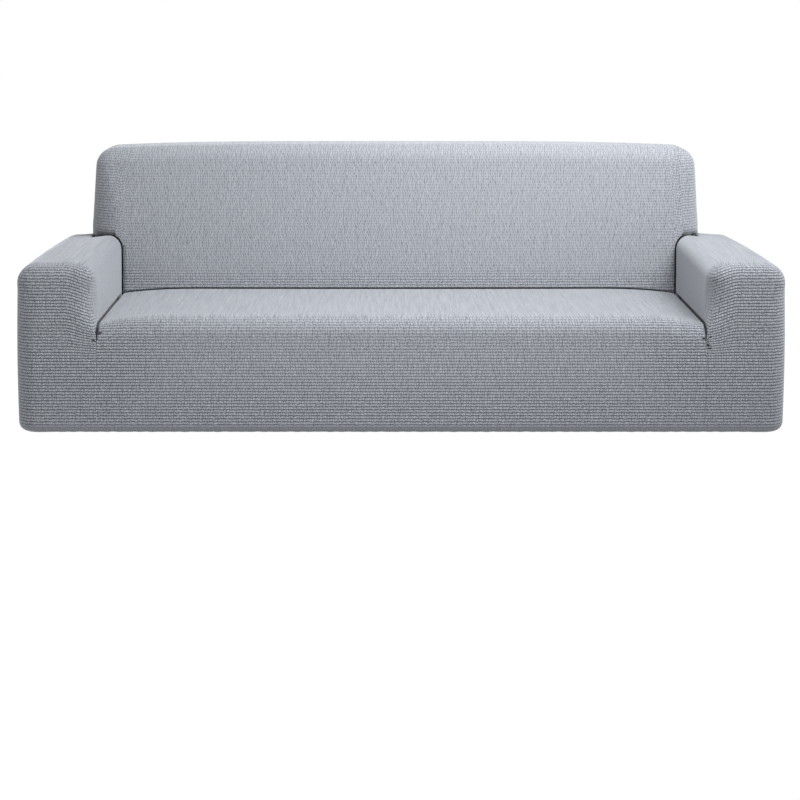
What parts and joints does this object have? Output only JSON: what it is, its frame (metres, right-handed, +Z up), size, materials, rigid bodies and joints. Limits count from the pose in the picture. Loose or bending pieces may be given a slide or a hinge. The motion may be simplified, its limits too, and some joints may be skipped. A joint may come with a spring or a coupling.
{
  "type": "sofa slipcover",
  "caption": "Stretch slipcover in pillow-cell knit, shaped as it sits on its sofa: seat, arm and back panels with tucked creases and a gathered hem, hollow and open below.",
  "frame": {"origin": "the underside of the cloth at the middle of the backrest's top, where the sofa's backrest carries the cover", "axes": "+X along the sofa's length, to the right as seen from the front; -Y is the front of the sofa; +Z is up"},
  "size_m": [2.1564, 0.84, 0.752],
  "materials": {
    "knit_cloth": "soft matte grey-blue knit in small raised pillow cells"
  },
  "bodies": {
    "root": {"seat_panel": "knit_cloth", "arm_cover_left": "knit_cloth", "arm_cover_right": "knit_cloth", "back_cover": "knit_cloth"}
  },
  "joints": []
}
